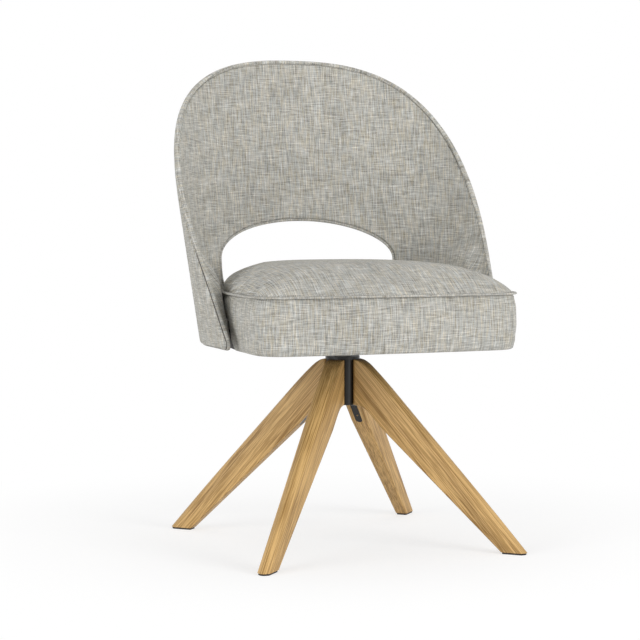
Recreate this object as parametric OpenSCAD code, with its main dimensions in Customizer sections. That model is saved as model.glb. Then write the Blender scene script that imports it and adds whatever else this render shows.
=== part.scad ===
// Swivel dining chair: an upholstered wrap-round back and a boxed seat on four oak legs.
// Lengths are in millimetres. Z is the swivel axis, the floor is z = 0 and the chair faces -Y.

/* [Overall] */
// Height of the top of the back
back_top = 842.5; // [790:0.5:900]
// Height of the underside of the seat
seat_bottom = 342; // [327:1:367]
// Distance from the swivel axis to the middle of each foot
foot_reach = 311; // [290:0.1:335]

/* [Back] */
// Height of the lower edge of the back
back_low = 348; // [344:1:352]
// Half the inside width of the back at its lower edge
back_side_low = 240; // [234:0.5:244]
// Half width that pulls the sides outwards between the bottom and the top
back_side_mid = 275; // [265:1:285]
// Half width that the sides would reach at the top if they weren't cut away
back_side_high = 309; // [300:1:325]
// How much the wings flare towards the front, as a share
flare_share = 0.05; // [0:0.005:0.3]
// Place behind the swivel axis of the inside of the back at its lower edge
back_rear_low = 182; // [180:1:188]
// Place behind the swivel axis of the inside of the back at its top
back_rear_high = 226; // [210:1:240]
// Place where the rounded rear of the back turns into its wings, in front of the swivel axis
middle_front = 26; // [20:1:32]
// Place of the lower front corner of each wing, in front of the swivel axis
wing_front = 124; // [110:1:130]
// Radius of the lower front corner of each wing
wing_corner_r = 10; // [6:1:16]
// How far the slanted edge of each wing bows out
edge_bow = 10.5; // [6:0.5:16]
// Squareness of the plan of the back at its lower edge, where 2 is an ellipse
squareness_low = 2.25; // [2.1:0.01:2.6]
// Squareness of the plan of the back at its top, where 2 is an ellipse
squareness_high = 2.6; // [2.3:0.01:2.8]
// Thickness of the padding inside the shell
pad_t = 3.5; // [3:0.5:5]
// Most that the padding thickens inside each wing, beside the seat
wing_pad_t = 28; // [10:1:30]
// Distance from the slanted edge over which it thickens
wing_pad_run = 36; // [25:1:60]
// Gap between the padding of each wing and the seat's side
wing_gap = 5.5; // [4.5:0.5:10]
// Thickness of the moulded plywood shell
shell_t = 6.5; // [6:0.5:9]
// Thickness of the cloth and wadding on the outside of the shell
cover_t = 2; // [1.5:0.5:4]
// Width over which the edges thin down
edge_roll = 24; // [18:1:28]
// How far the sewn band stands out round the edge of the back
band_bulge = 3; // [2:0.5:5]

/* [Window] */
// Width of the opening in the back
window_w = 331; // [280:1:344]
// Height of the upper edge of the opening
window_top = 554.5; // [530:0.5:580]
// Height of the widest line of the opening
window_mid = 486; // [475:1:495]
// Height of the lower edge of the opening
window_low = 395; // [392:1:425]
// Squareness of the lower half of the opening, where 2 is an ellipse
window_squareness = 3.4; // [2:0.1:4]

/* [Seat] */
// Width of the seat
seat_w = 460; // [440:1:474]
// Place of the front of the seat, in front of the swivel axis
seat_front = 236; // [220:1:245]
// Place of the rear of the seat, behind the swivel axis
seat_rear = 176; // [165:1:177]
// How far the front edge bows forward between its corners
seat_bow = 6; // [3:1:10]
// Radius of the front corners of the seat
seat_corner_r = 48; // [35:1:60]
// Height of the boxed side, from the underside to the sewn edge
boxing_h = 93; // [80:1:105]
// Height of the crown above the sewn edge
crown_h = 49; // [30:1:55]
// Flatness of the crown's middle, where 2 is a dome
crown_flatness = 4; // [3:0.5:6]
// Softness of the crown's front rim, where 1 slopes gently and less stands up
rim_softness_front = 1.1; // [0.8:0.05:1.4]
// Softness of the crown's rear rim
rim_softness_rear = 0.25; // [0.2:0.05:0.6]
// Roundness of the rear of the seat in plan, where 2 is an ellipse
seat_squareness = 2.8; // [2.3:0.05:2.9]
// How far the sides of the seat draw in at the bottom, between the wings
side_draw = 2; // [0:0.5:6]
// Thickness of the padding round the seat's frame
wrap_t = 8; // [6:0.5:10]
// How far the sewn lip stands out round the seat
lip_out = 4; // [3:0.5:6]
// Thickness of the sewn lip
lip_t = 4; // [3:0.5:6]

/* [Seat frame] */
// Thickness of the plywood board under the seat
board_t = 15; // [15:1:18]
// Width of the rail on the board
rail_w = 20; // [18:1:24]
// Height of the rail on the board
rail_h = 42; // [36:1:46]
// Thickness of the black cloth under the seat
dust_t = 0.8; // [0.6:0.1:1]

/* [Swivel] */
// Height of the gap from the top of the hub to the underside of the seat
neck_h = 20; // [16:1:24]
// Diameter of the spindle
spindle_d = 20; // [18:1:22]
// Diameter of the spindle's collar
collar_d = 28; // [27:1:32]
// Thickness of the swivel plate
plate_t = 5; // [4:0.5:6]
// Side of the swivel plate
plate_w = 160; // [140:1:180]
// Distance between the plate's bolts
plate_pitch = 120; // [100:1:130]
// Thickness of the ring that the collar turns on
thrust_t = 1.5; // [1:0.1:2]
// Radial clearance between the spindle and its bushes
running_gap = 0.05; // [0.03:0.01:0.08]
// Wall of each bush
bush_wall = 3; // [2.5:0.1:3.4]
// Length of each bush
bush_l = 30; // [20:1:32]

/* [Hub] */
// Height of the hub
hub_h = 83; // [78:1:95]
// Distance from the swivel axis to the hub's flat faces
hub_flat = 23.5; // [22.5:0.5:26]
// Radius of the hub's rounded corners
hub_corner_r = 11; // [8:0.5:13]
// Diameter of the disc on the hub
disc_d = 59; // [57:1:66]
// Thickness of the disc on the hub
disc_t = 5; // [4:0.5:6]
// Diameter of the recess under the hub
recess_d = 34; // [33:1:37]
// Depth of the recess under the hub
recess_h = 12; // [11:0.5:14]
// Thickness of the cap in the recess
cap_t = 2.5; // [2:0.5:3]

/* [Legs] */
// Width of each leg at the hub
leg_w = 30; // [26:1:31]
// Width of each leg at the foot
foot_w = 22; // [18:1:30]
// Length of the foot's print, away from the hub
foot_l = 43; // [38:0.1:54]
// Rise of the rounded outer face of each leg
leg_crown = 5; // [3:0.5:8]
// Radius of the edges along the underside of each leg
leg_edge = 2.5; // [1.5:0.5:4]
// Thickness of each glide
glide_t = 3; // [2:0.5:5]

/* [Hidden] */
$fn = 64;
overrun = 1;
clear = 0.3;
axial_gap = 0.1;
layer_gap = 0.15;

// Heights that follow from the sizes above
hub_top = seat_bottom - neck_h;
hub_bottom = hub_top - hub_h;
disc_under = hub_top - disc_t;
cloth_rise = 0.16;
board_bottom = seat_bottom + cloth_rise + dust_t;
board_top = board_bottom + board_t;
rail_top = board_top + rail_h;
seam_z = seat_bottom + boxing_h;
back_h = back_top - back_low;
full_t = pad_t + shell_t + cover_t;

// Helpers
function mix(a, b, share) = a + (b - a) * share;
function unit(v) = v / norm(v);
function flat(list) = [for (part = list) for (item = part) item];
function turned(list) = [for (i = [len(list) - 1:-1:0]) list[i]];
function around(i, n) = (i + n) % n;

// Solid skinned over rings that all have the same number of points.
// A looped one joins its last ring to its first, any other is closed by two end faces.
// From the strip number turned_from on, the faces are cut along their other diagonal.
module skin(rings, looped = false, turned_from = 1000) {
    n = len(rings[0]);
    last = len(rings) - 1;
    strips = looped ? last : last - 1;
    sides = [for (i = [0:strips]) for (k = [0:n - 1]) let (
        a = i * n + k,
        b = i * n + around(k + 1, n),
        c = around(i + 1, len(rings)) * n + around(k + 1, n),
        d = around(i + 1, len(rings)) * n + k
    ) each i < turned_from ? [[a, b, c], [a, c, d]] : [[a, b, d], [b, c, d]]];
    ends = looped ? [] : [[for (k = [n - 1:-1:0]) k], [for (k = [0:n - 1]) last * n + k]];
    polyhedron(flat(rings), concat(sides, ends), convexity = 8);
}

// Puts its children on a line that starts at a point and runs along a direction
module along(start, direction) {
    translate(start)
        rotate([0, acos(direction[2]), atan2(direction[1], direction[0])])
            children();
}

// Inner face of the back, by its turn from the rear and its height
function height_share(z) = (z - back_low) / back_h;
function side_w(z) = let (t = height_share(z))
    (1 - t) * (1 - t) * back_side_low + 2 * t * (1 - t) * back_side_mid + t * t * back_side_high;
function squareness(z) = mix(squareness_low, squareness_high, height_share(z));
function rear_y(z) = mix(back_rear_low, back_rear_high, height_share(z));

// The slanted edge bows out most at a height share of bow_power / (1 + bow_power)
bow_power = 2;
bow_peak_share = pow(bow_power / (1 + bow_power), bow_power) / (1 + bow_power);
function cut_y(z) = let (t = height_share(z)) mix(-wing_front, back_rear_high, t)
    - edge_bow * pow(max(0, t), bow_power) * (1 - t) / bow_peak_share;

// The plan is round at the rear up to a turn of 90 degrees, and then a wing that flares to the front
function depth(z) = rear_y(z) + middle_front;
function reach(turn, z) = let (p = squareness(z)) pow(
    pow(abs(sin(turn)) / side_w(z), p) + pow(cos(turn) / depth(z), p), -1 / p);
function wing_run(turn, z) = side_w(z) * tan(abs(turn) - 90);
function back_at(turn, z) = abs(turn) <= 90
    ? [reach(turn, z) * sin(turn), reach(turn, z) * cos(turn) - middle_front, z]
    : let (run = wing_run(turn, z))
        [sign(turn) * (side_w(z) + flare_share * run * run / side_w(z)), -middle_front - run, z];

// Turn at which the inner face reaches a place
function other_axis(share, z) = let (p = squareness(z))
    pow(max(0, 1 - pow(abs(share), p)), 1 / p);
function turn_where_y(y, z) = let (behind = y + middle_front) behind < 0
    ? 90 + atan(-behind / side_w(z))
    : atan2(side_w(z) * other_axis(behind / depth(z), z), behind);
function turn_where_x(x, z) = atan2(x, depth(z) * other_axis(x / side_w(z), z));

turn_step = 0.1;
height_step_share = 0.001;
function back_normal(turn, z) = let (
    dz = back_h * height_step_share,
    across = back_at(turn + turn_step, z) - back_at(turn - turn_step, z),
    up = back_at(turn, z + dz) - back_at(turn, z - dz)
) unit(cross(up, across));
function off_back(turn, z, distance) = back_at(turn, z) + distance * back_normal(turn, z);

// Outline of the back as turns and heights: the lower edge, the wing's corner, the slanted edge
low_steps = 10;
corner_steps = 3;
slant_steps = 15;
slant_power = 2.2;
half_steps = low_steps + corner_steps + slant_steps;
slant_angle = atan2(back_h, back_rear_high + wing_front);
corner_run = wing_corner_r / tan(slant_angle / 2);
low_end_turn = turn_where_y(corner_run - wing_front, back_low);
slant_start_z = back_low + corner_run * sin(slant_angle);
corner_sweep = 180 - slant_angle;

function corner_point(share) = let (
    angle = 270 - corner_sweep * share,
    y = corner_run - wing_front + wing_corner_r * cos(angle),
    z = back_low + wing_corner_r * (1 + sin(angle))
) [turn_where_y(y, z), z];
function slant_point(share) = let (
    z = mix(back_top, slant_start_z, pow(1 - share, slant_power))
) [share == 1 ? 0 : turn_where_y(cut_y(z), z), z];

half_edge = concat(
    [for (i = [0:low_steps]) [low_end_turn * i / low_steps, back_low]],
    [for (i = [1:corner_steps]) corner_point(i / corner_steps)],
    [for (i = [1:slant_steps]) slant_point(i / slant_steps)]);

// Outline of the opening, with a point for each point of the back's outline
window_low_steps = low_steps + 2;
window_turn_share = 0.36;
function window_angle(i) = i <= window_low_steps
    ? -90 + 180 * window_turn_share * i / window_low_steps
    : 90 - 180 * (1 - window_turn_share) * (half_steps - i) / (half_steps - window_low_steps);
function window_point(angle) = let (
    upper = angle > 0,
    power = upper ? 1 : 2 / window_squareness,
    rise = upper ? window_top - window_mid : window_low - window_mid,
    z = window_mid + rise * pow(abs(sin(angle)), power)
) [abs(angle) == 90 ? 0 : turn_where_x(pow(cos(angle), power) * window_w / 2, z), z];
half_window = [for (i = [0:half_steps]) window_point(window_angle(i))];

function both_sides(half) = concat(half,
    [for (i = [len(half) - 2:-1:1]) [-half[i][0], half[i][1]]]);
edge = both_sides(half_edge);
window = both_sides(half_window);
count = len(edge);

// Places of the rings from the opening to the edge, and how much of its thickness the back has there
roll_shares = [0, 0.3, 1];
thin_shares = [0.75, 0.92, 1];
middle_rings = 4;
near_limit_share = 0.36;
function spoke(k) = norm(back_at(edge[k][0], edge[k][1]) - back_at(window[k][0], window[k][1]));
function ring_place(i, k) = let (
    rolls = len(roll_shares),
    near = min(edge_roll / spoke(k), near_limit_share)
) i < rolls ? near * roll_shares[i]
    : i < rolls + middle_rings ? mix(near, 1 - near, (i - rolls + 1) / (middle_rings + 1))
    : 1 - near * roll_shares[2 * rolls + middle_rings - 1 - i];
ring_count = 2 * len(roll_shares) + middle_rings;
function ring_thin(i) = let (
    rolls = len(roll_shares),
    from_end = min(i, ring_count - 1 - i)
) from_end < rolls ? thin_shares[from_end] : 1;
function back_ring(i, distance, thicker = false) = [for (k = [0:count - 1]) let (
    place = mix(window[k], edge[k], ring_place(i, k)),
    extra = thicker ? wing_pad(place[0], place[1]) : 0
) off_back(place[0], place[1], distance * ring_thin(i) - extra)];

// One layer of the back between two distances from its inner face. Both of its faces are cut
// along the same diagonals, so that layers meet without cutting into each other.
module back_layer(inner, outer, thicker = false) {
    skin(concat(
        [for (i = [0:ring_count - 1]) back_ring(i, inner, thicker)],
        [for (i = [ring_count - 1:-1:0]) back_ring(i, outer)]), looped = true, turned_from = ring_count);
}

// Sewn band along an outline of the back, standing out by a bulge and just clear of the layers
bulge_steps = 4;
module sewn_band(outline, side, bulge) {
    thin = thin_shares[0];
    bed = thin * [0, pad_t, pad_t + shell_t, full_t];
    faces = [for (p = outline) back_at(p[0], p[1])];
    normals = [for (p = outline) back_normal(p[0], p[1])];
    outs = [for (k = [0:count - 1])
        side * unit(cross(normals[k], faces[around(k + 1, count)] - faces[around(k - 1, count)]))];
    rings = concat(
        [for (distance = bed)
            [for (k = [0:count - 1]) faces[k] + distance * normals[k] + layer_gap * outs[k]]],
        [for (i = [1:bulge_steps - 1]) let (angle = 180 * i / bulge_steps)
            [for (k = [0:count - 1]) faces[k]
                + normals[k] * thin * full_t * (1 + cos(angle)) / 2
                + outs[k] * bulge * sin(angle)]]);
    skin(side > 0 ? rings : turned(rings), looped = true);
}

// Outline of the seat, from the middle of the rear by the right side to the middle of the front
rear_steps = 17;
front_corner_steps = 7;
front_steps = 4;
seat_half_w = seat_w / 2;
seat_corner_y = seat_corner_r - seat_front + seat_bow;
half_seat = concat(
    [for (i = [0:rear_steps]) let (angle = 90 * i / rear_steps)
        [seat_half_w * pow(sin(angle), 2 / seat_squareness),
         mix(seat_corner_y, seat_rear, pow(cos(angle), 2 / seat_squareness))]],
    [for (i = [1:front_corner_steps]) let (angle = 90 * i / front_corner_steps)
        [seat_half_w - seat_corner_r * (1 - cos(angle)), seat_corner_y - seat_corner_r * sin(angle)]],
    [for (i = [1:front_steps]) let (x = (seat_half_w - seat_corner_r) * (1 - i / front_steps))
        [x, -seat_front + seat_bow * pow(x / (seat_half_w - seat_corner_r), 2)]]);
seat_outline = concat(half_seat,
    [for (i = [len(half_seat) - 2:-1:1]) [-half_seat[i][0], half_seat[i][1]]]);
seat_count = len(seat_outline);
seat_out = [for (k = [0:seat_count - 1]) let (
    run = seat_outline[around(k + 1, seat_count)] - seat_outline[around(k - 1, seat_count)]
) unit([-run[1], run[0]])];
function risen(value, low, high) = let (share = min(1, max(0, (value - low) / (high - low))))
    share * share * (3 - 2 * share);
function eased(y, start, end) = risen(y, -start, -end);
draw_start = 173;
draw_end = 113;
function seat_ring(inset, draw = 0) = [for (k = [0:seat_count - 1]) let (p = seat_outline[k])
    p - (inset + draw * eased(p[1], draw_start, draw_end)) * seat_out[k]];
function frame_ring(inset) = seat_ring(wrap_t + inset, side_draw);

// Distance from a place to a ring along a direction, all in plan
function crossed(a, b) = a[0] * b[1] - a[1] * b[0];
function to_ring(start, direction, ring) = let (n = len(ring)) min([for (k = [0:n - 1]) let (
    gap = ring[k] - start,
    run = ring[around(k + 1, n)] - ring[k],
    span = crossed(direction, run),
    place = crossed(gap, direction) / span,
    distance = crossed(gap, run) / span
) if (place >= 0 && place <= 1 && distance > 0) distance]);
function plan(v) = [v[0], v[1]];

// Extra padding inside a wing: it fills the room beside the seat, and fades to the rear and upwards
wing_pad_turns = [50, 85];
wing_pad_foot = 12;
wing_pad_fade = [5, 115];
function wing_pad(turn, z) = let (
    here = back_at(turn, z),
    near = risen(here[1] - cut_y(z), 0, wing_pad_run) * risen(z, back_low, back_low + wing_pad_foot)
        * (1 - risen(z, seam_z + wing_pad_fade[0], seam_z + wing_pad_fade[1]))
        * risen(abs(turn), wing_pad_turns[0], wing_pad_turns[1]),
    low_share = max(0, 1 - (z - seat_bottom) / boxing_h)
) near <= 0 ? 0 : near * min(wing_pad_t,
    to_ring(plan(here), -plan(back_normal(turn, z)), seat_ring(-wing_gap, side_draw * low_share)));

// The seat's padding ends higher where the back hides it, so that the frame takes the bolts
lift_h = 46;
lift_start = 72;
lift_end = 45;
function seat_lift(y) = lift_h * eased(y, lift_start, lift_end);
function raised(ring, z) = [for (p = ring)
    [p[0], p[1], mix(seat_bottom + seat_lift(p[1]), seam_z, (z - seat_bottom) / boxing_h)]];
function level(ring, z) = [for (p = ring) [p[0], p[1], z]];

// Side of the seat as places in from its outline and shares of the boxed height
side_in_shares = [1, 0.8, 0.3, 0.08, -0.15, -0.45, -0.35, 0.1, 0.4];
side_shares = [0.012, 0, 0.02, 0.065, 0.15, 0.45, 0.75, 0.93, 0.975];
function side_ring(i) = raised(
    seat_ring(wrap_t * side_in_shares[i], side_draw * (1 - side_shares[i])),
    seat_bottom + boxing_h * side_shares[i]);
crown_middle = 25;
crown_in_share = 0.4;
crown_shares = [0.997, 0.985, 0.96, 0.92, 0.86, 0.77, 0.62, 0.42, 0.2];
function rim_softness(y) = mix(rim_softness_front, rim_softness_rear,
    sqrt((y + seat_front) / (seat_rear + seat_front)));
function crown_ring(share) = [for (p = seat_ring(crown_in_share * wrap_t)) let (
    rise = pow(1 - pow(share, crown_flatness), rim_softness(p[1])),
    z = seam_z + lip_t / 2 + (crown_h - lip_t / 2) * rise
) [p[0] * share, mix(-crown_middle, p[1], share), z]];

// Section of the sewn lip: shares of how far it stands out, and of its thickness
lip_shares = [[-0.6, -0.5], [-1, -0.1], [-0.7, 0.4]];
lip_root_shares = [0.36, -0.27];

// Bolts that hold the back: turns from the rear, and a height above the underside of the seat
bolt_turns = [-93, -14, 14, 93];
bolt_rise = 22;
bolt_d = 6;
bolt_head_d = 11;
bolt_head_h = 5;
spacer_d = 16;
spot_cut = 0.5;
spot_depth = pad_t + spot_cut;
nut_flange_d = 17;
nut_flange_t = 1.2;
nut_barrel_d = 8;
nut_depth = 2.8;
nut_seat = pad_t + shell_t - nut_depth;

// Puts its children at each bolt. $grip is the distance from the back to the middle of the rail.
module at_back_bolts() {
    for (turn = bolt_turns) {
        start = back_at(turn, seat_bottom + bolt_rise);
        direction = back_normal(turn, seat_bottom + bolt_rise);
        level_share = norm(plan(direction));
        $grip = to_ring(plan(start), -plan(direction) / level_share, frame_ring(clear + rail_w / 2))
            / level_share;
        along(start, direction)
            children();
    }
}

// Bolts that hold the swivel plate, and the screws that hold the rail
plate_bolt_d = 8;
plate_head_d = 14;
plate_head_h = 4.5;
plate_nut_d = 10;
plate_flange_d = 22;
plate_flange_t = 1.6;
plate_corner_r = 12;
rail_screw_d = 4;
rail_screw_head_d = 8;
rail_screw_head_h = 2.6;
rail_screw_l = 38;
rail_screw_places = [1, 6, 11, 16, 21, 27];

module at_plate_bolts() {
    for (x = [-1, 1])
        for (y = [-1, 1])
            translate([x * plate_pitch / 2, y * plate_pitch / 2, 0])
                children();
}

module at_rail_screws() {
    middle = frame_ring(clear + rail_w / 2);
    for (i = rail_screw_places)
        for (side = [-1, 1])
            translate([side * middle[i][0], middle[i][1], board_bottom])
                children();
}

module countersunk_screw(shank_d, head_d, head_h, length) {
    cylinder(d1 = head_d, d2 = shank_d, h = head_h);
    cylinder(d = shank_d, h = length);
}

// Upholstered back
module back_inner_pad() {
    color("#b4b1aa")
        difference() {
            back_layer(0, pad_t - layer_gap, thicker = true);
            at_back_bolts()
                translate([0, 0, -$grip])
                    cylinder(d = spacer_d + 2 * clear, h = $grip + full_t);
        }
}

module back_shell() {
    color("#cfae7c")
        difference() {
            back_layer(pad_t, pad_t + shell_t);
            at_back_bolts() {
                translate([0, 0, spot_depth - full_t])
                    cylinder(d = spacer_d + 2 * clear, h = full_t);
                cylinder(d = nut_barrel_d, h = full_t);
                translate([0, 0, nut_seat])
                    cylinder(d = nut_flange_d + 2 * clear, h = full_t);
            }
        }
}

module back_outer_cover() {
    color("#a9a69f")
        back_layer(pad_t + shell_t + layer_gap, full_t);
}

module back_edge_band() {
    color("#b0ada6")
        sewn_band(edge, 1, band_bulge);
}

module window_band() {
    color("#9c9992")
        sewn_band(window, -1, band_bulge / 2);
}

module back_bolts() {
    color("#c4c6c8")
        at_back_bolts() {
            translate([0, 0, -$grip - bolt_head_h])
                cylinder(d = bolt_head_d, h = bolt_head_h);
            translate([0, 0, -$grip])
                cylinder(d = bolt_d, h = $grip + nut_seat);
        }
}

module back_nuts() {
    color("#d2d4d6")
        at_back_bolts()
            difference() {
                union() {
                    translate([0, 0, spot_depth])
                        cylinder(d = nut_barrel_d, h = nut_seat - spot_depth);
                    translate([0, 0, nut_seat])
                        cylinder(d = nut_flange_d, h = nut_flange_t);
                }
                translate([0, 0, -overrun])
                    cylinder(d = bolt_d, h = full_t);
            }
}

module back_spacers() {
    color("#2c2c2e")
        difference() {
            at_back_bolts()
                translate([0, 0, -$grip])
                    difference() {
                        cylinder(d = spacer_d, h = spot_depth + $grip);
                        translate([0, 0, -overrun])
                            cylinder(d = bolt_d, h = 2 * $grip);
                    }
            translate([0, 0, board_bottom])
                linear_extrude(board_t + rail_h)
                    polygon(frame_ring(clear));
        }
}

// Seat
module seat_cushion() {
    color("#b7b4ad")
        skin(concat(
            [level(frame_ring(0), rail_top + clear)],
            [for (i = [0:len(side_shares) - 1]) side_ring(i)],
            [for (share = crown_shares) crown_ring(share)]));
}

module seat_lip() {
    root = crown_in_share * wrap_t - clear;
    section = concat(
        [[root, lip_root_shares[1]]],
        [for (s = lip_shares) [lip_out * s[0], s[1]]],
        [[root, lip_root_shares[0]]]);
    color("#a6a39c")
        skin([for (p = section) level(seat_ring(p[0]), seam_z + lip_t * p[1])], looped = true);
}

module seat_board() {
    color("#d0b283")
        difference() {
            translate([0, 0, board_bottom])
                linear_extrude(board_t)
                    polygon(frame_ring(clear));
            at_plate_bolts() {
                cylinder(d = plate_nut_d, h = back_top);
                translate([0, 0, board_top - plate_flange_t])
                    cylinder(d = plate_flange_d + 2 * clear, h = board_t);
            }
            at_rail_screws()
                countersunk_screw(rail_screw_d, rail_screw_head_d, rail_screw_head_h, rail_screw_l);
        }
}

module seat_rail() {
    color("#c9a876")
        difference() {
            translate([0, 0, board_top])
                linear_extrude(rail_h)
                    difference() {
                        polygon(frame_ring(clear));
                        polygon(frame_ring(clear + rail_w));
                    }
            at_rail_screws()
                countersunk_screw(rail_screw_d, rail_screw_head_d, rail_screw_head_h, rail_screw_l);
            at_back_bolts() {
                translate([0, 0, -2 * $grip])
                    cylinder(d = bolt_d, h = 2 * $grip);
                translate([0, 0, -2 * $grip])
                    cylinder(d = bolt_head_d + 2 * clear, h = $grip);
            }
        }
}

module rail_screws() {
    color("#c0c2c4")
        at_rail_screws()
            countersunk_screw(rail_screw_d, rail_screw_head_d, rail_screw_head_h, rail_screw_l);
}

module seat_foam() {
    color("#e6dcae")
        translate([0, 0, board_top + clear])
            linear_extrude(rail_h - clear)
                polygon(frame_ring(rail_w + 3 * clear));
}

module dust_cover() {
    color("#1d1d1f")
        translate([0, 0, board_bottom - dust_t])
            linear_extrude(dust_t)
                difference() {
                    polygon(frame_ring(2 * clear));
                    square(plate_w + 2 * clear, center = true);
                }
}

// Swivel, fixed to the seat
collar_bottom = hub_top + thrust_t + axial_gap;
plate_bottom = board_bottom - plate_t;
spindle_bottom = hub_bottom + recess_h - axial_gap;
spindle_screw_d = 8;
spindle_screw_l = 22;
spindle_screw_head_d = 14;
spindle_screw_head_h = 4;
spindle_washer_d = 32;
spindle_washer_t = 3;

module swivel_plate() {
    color("#26272a")
        translate([0, 0, plate_bottom])
            difference() {
                linear_extrude(plate_t) {
                    square([plate_w, plate_w - 2 * plate_corner_r], center = true);
                    square([plate_w - 2 * plate_corner_r, plate_w], center = true);
                    for (x = [-1, 1])
                        for (y = [-1, 1])
                            translate([x, y] * (plate_w / 2 - plate_corner_r))
                                circle(plate_corner_r);
                }
                translate([0, 0, -overrun]) {
                    cylinder(d = spindle_d, h = plate_t + 2 * overrun);
                    at_plate_bolts()
                        cylinder(d = plate_bolt_d, h = plate_t + 2 * overrun);
                }
            }
}

module spindle() {
    color("#1f2022")
        difference() {
            union() {
                translate([0, 0, spindle_bottom])
                    cylinder(d = spindle_d, h = board_bottom - spindle_bottom);
                translate([0, 0, collar_bottom])
                    cylinder(d = collar_d, h = plate_bottom - collar_bottom);
            }
            translate([0, 0, spindle_bottom - overrun])
                cylinder(d = spindle_screw_d, h = spindle_screw_l + overrun);
        }
}

module spindle_washer() {
    color("#b9bbbd")
        translate([0, 0, spindle_bottom - spindle_washer_t])
            difference() {
                cylinder(d = spindle_washer_d, h = spindle_washer_t);
                translate([0, 0, -overrun])
                    cylinder(d = spindle_screw_d, h = spindle_washer_t + 2 * overrun);
            }
}

module spindle_screw() {
    color("#c4c6c8")
        translate([0, 0, spindle_bottom - spindle_washer_t]) {
            translate([0, 0, -spindle_screw_head_h])
                cylinder(d = spindle_screw_head_d, h = spindle_screw_head_h);
            cylinder(d = spindle_screw_d, h = spindle_screw_l);
        }
}

module plate_bolts() {
    color("#2b2c2e")
        at_plate_bolts() {
            translate([0, 0, plate_bottom - plate_head_h])
                cylinder(d = plate_head_d, h = plate_head_h);
            translate([0, 0, plate_bottom])
                cylinder(d = plate_bolt_d, h = plate_t + board_t - plate_flange_t);
        }
}

module plate_nuts() {
    color("#d2d4d6")
        at_plate_bolts()
            difference() {
                union() {
                    translate([0, 0, board_bottom])
                        cylinder(d = plate_nut_d, h = board_t - plate_flange_t);
                    translate([0, 0, board_top - plate_flange_t])
                        cylinder(d = plate_flange_d, h = plate_flange_t);
                }
                cylinder(d = plate_bolt_d, h = back_top);
            }
}

// Hub and its bearings
hub_bore_d = spindle_d + 2 * running_gap + 2 * bush_wall;

module hub_outline() {
    flats = hub_flat - hub_corner_r;
    square([2 * hub_flat, 2 * flats], center = true);
    square([2 * flats, 2 * hub_flat], center = true);
    for (x = [-1, 1])
        for (y = [-1, 1])
            translate([x, y] * flats)
                circle(hub_corner_r);
}

module hub() {
    color("#232325")
        difference() {
            union() {
                translate([0, 0, hub_bottom])
                    rotate([0, 0, 45])
                        linear_extrude(hub_h - disc_t)
                            hub_outline();
                translate([0, 0, disc_under])
                    cylinder(d = disc_d, h = disc_t);
            }
            cylinder(d = hub_bore_d, h = hub_top + overrun);
            translate([0, 0, hub_bottom - overrun])
                cylinder(d = recess_d, h = recess_h + overrun);
            at_legs()
                at_dowels()
                    cylinder(d = dowel_d, h = dowel_l);
        }
}

module bush(bottom) {
    translate([0, 0, bottom])
        difference() {
            cylinder(d = hub_bore_d, h = bush_l);
            translate([0, 0, -overrun])
                cylinder(d = spindle_d + 2 * running_gap, h = bush_l + 2 * overrun);
        }
}

module bush_upper() {
    color("#e4e0d6")
        bush(hub_top - bush_l);
}

module bush_lower() {
    color("#e4e0d6")
        bush(hub_bottom + recess_h);
}

module thrust_ring() {
    color("#d9d5cb")
        translate([0, 0, hub_top])
            difference() {
                cylinder(d = collar_d, h = thrust_t);
                translate([0, 0, -overrun])
                    cylinder(d = spindle_d + 4 * running_gap, h = thrust_t + 2 * overrun);
            }
}

module hub_cap() {
    color("#1b1b1d")
        translate([0, 0, hub_bottom])
            cylinder(d = recess_d, h = cap_t);
}

// Legs: a bend next to the hub and a straight, tapering run to the foot
bend_top_w = 65.5;
bend_top_drop = 52.7;
bend_low_w = 53.5;
bend_low_drop = 38;
foot_crown = 6.5;
foot_in = foot_reach - foot_l / 2;
foot_out = foot_reach + foot_l / 2 - foot_crown;

// For each section of the bend: how far out and down its top is, how far out and down its
// underside is, then its width and the rise of its outer face
bend_shares = [
    [0.00, 0.000, 0.000, 0.00, 0.70, 0.00],
    [0.02, 0.001, 0.024, 0.00, 0.91, 0.00],
    [0.08, 0.006, 0.090, 0.01, 1.00, 0.00],
    [0.20, 0.050, 0.200, 0.03, 1.00, 0.15],
    [0.36, 0.180, 0.330, 0.09, 1.00, 0.45],
    [0.53, 0.385, 0.480, 0.22, 1.00, 0.75],
    [0.74, 0.660, 0.680, 0.50, 1.00, 1.00],
    [1.00, 1.000, 1.000, 1.00, 1.00, 1.00]];
crown_steps = 8;
soft_share = 0.3;

// One section of a leg between two points [out, up] of its long profile
function leg_section(low, top, width, rise, soft) = let (
    h = norm(top - low),
    w = width / 2,
    outline = concat(
        [[soft - w, 0], [w - soft, 0], [w - soft * soft_share, soft * soft_share], [w, soft], [w, h]],
        [for (i = [1:crown_steps - 1]) let (share = cos(180 * i / crown_steps))
            [w * share, h + rise * (1 - share * share)]],
        [[-w, h], [-w, soft], [soft * soft_share - w, soft * soft_share]])
) [for (p = outline) let (side = mix(low, top, p[1] / h)) [side[0], p[0], side[1]]];

function bend_low(s) = [hub_flat + bend_low_w * s[2], hub_bottom - bend_low_drop * s[3]];
function bend_top(s) = [hub_flat + bend_top_w * s[0], disc_under - bend_top_drop * s[1]];

module leg_wood() {
    skin(concat(
        [for (s = bend_shares)
            leg_section(bend_low(s), bend_top(s), leg_w * s[4], leg_crown * s[5], leg_edge)],
        [leg_section([foot_in, glide_t], [foot_out, glide_t], foot_w, foot_crown, leg_edge)]));
}

// Dowels between the hub and the legs
dowel_d = 8;
dowel_l = 38;
dowel_start = 15;
dowel_shares = [0.25, 0.7];

module at_dowels() {
    for (share = dowel_shares)
        translate([dowel_start, 0, hub_bottom + hub_h * share])
            rotate([0, 90, 0])
                children();
}

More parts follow.
